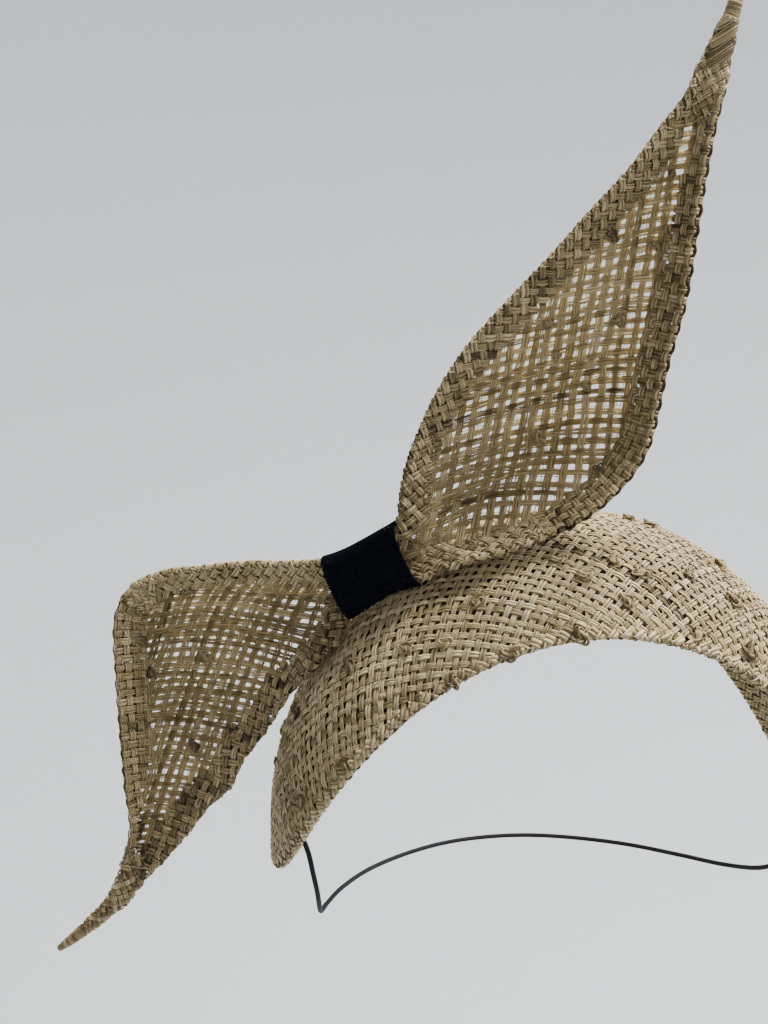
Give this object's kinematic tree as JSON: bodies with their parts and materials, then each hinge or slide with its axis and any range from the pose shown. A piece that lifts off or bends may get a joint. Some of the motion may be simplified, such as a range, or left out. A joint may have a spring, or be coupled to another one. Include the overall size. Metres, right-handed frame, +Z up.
{
  "type": "straw bandeau hat",
  "caption": "Saddle-shaped bandeau hat of knotted woven straw with a big two-winged straw bow and a dark ribbed ribbon knot.",
  "frame": {"origin": "inside of the band's crown, where the hat sits on the top of the head", "axes": "+Z up, the wearer faces -Y, +X towards the wearer's left ear"},
  "size_m": [0.2176, 0.1068, 0.2718],
  "materials": {
    "straw": "natural woven straw, matte with a faint fibre sheen",
    "ribbon": "ribbed ribbon, dark, soft sheen",
    "elastic_cord": "braided round elastic, matte"
  },
  "bodies": {
    "root": {"bandeau": "straw", "wing_left": "straw", "wing_right": "straw", "tip_left": "straw", "tip_right": "straw", "ribbon_knot": "ribbon", "elastic": "elastic_cord"}
  },
  "joints": []
}
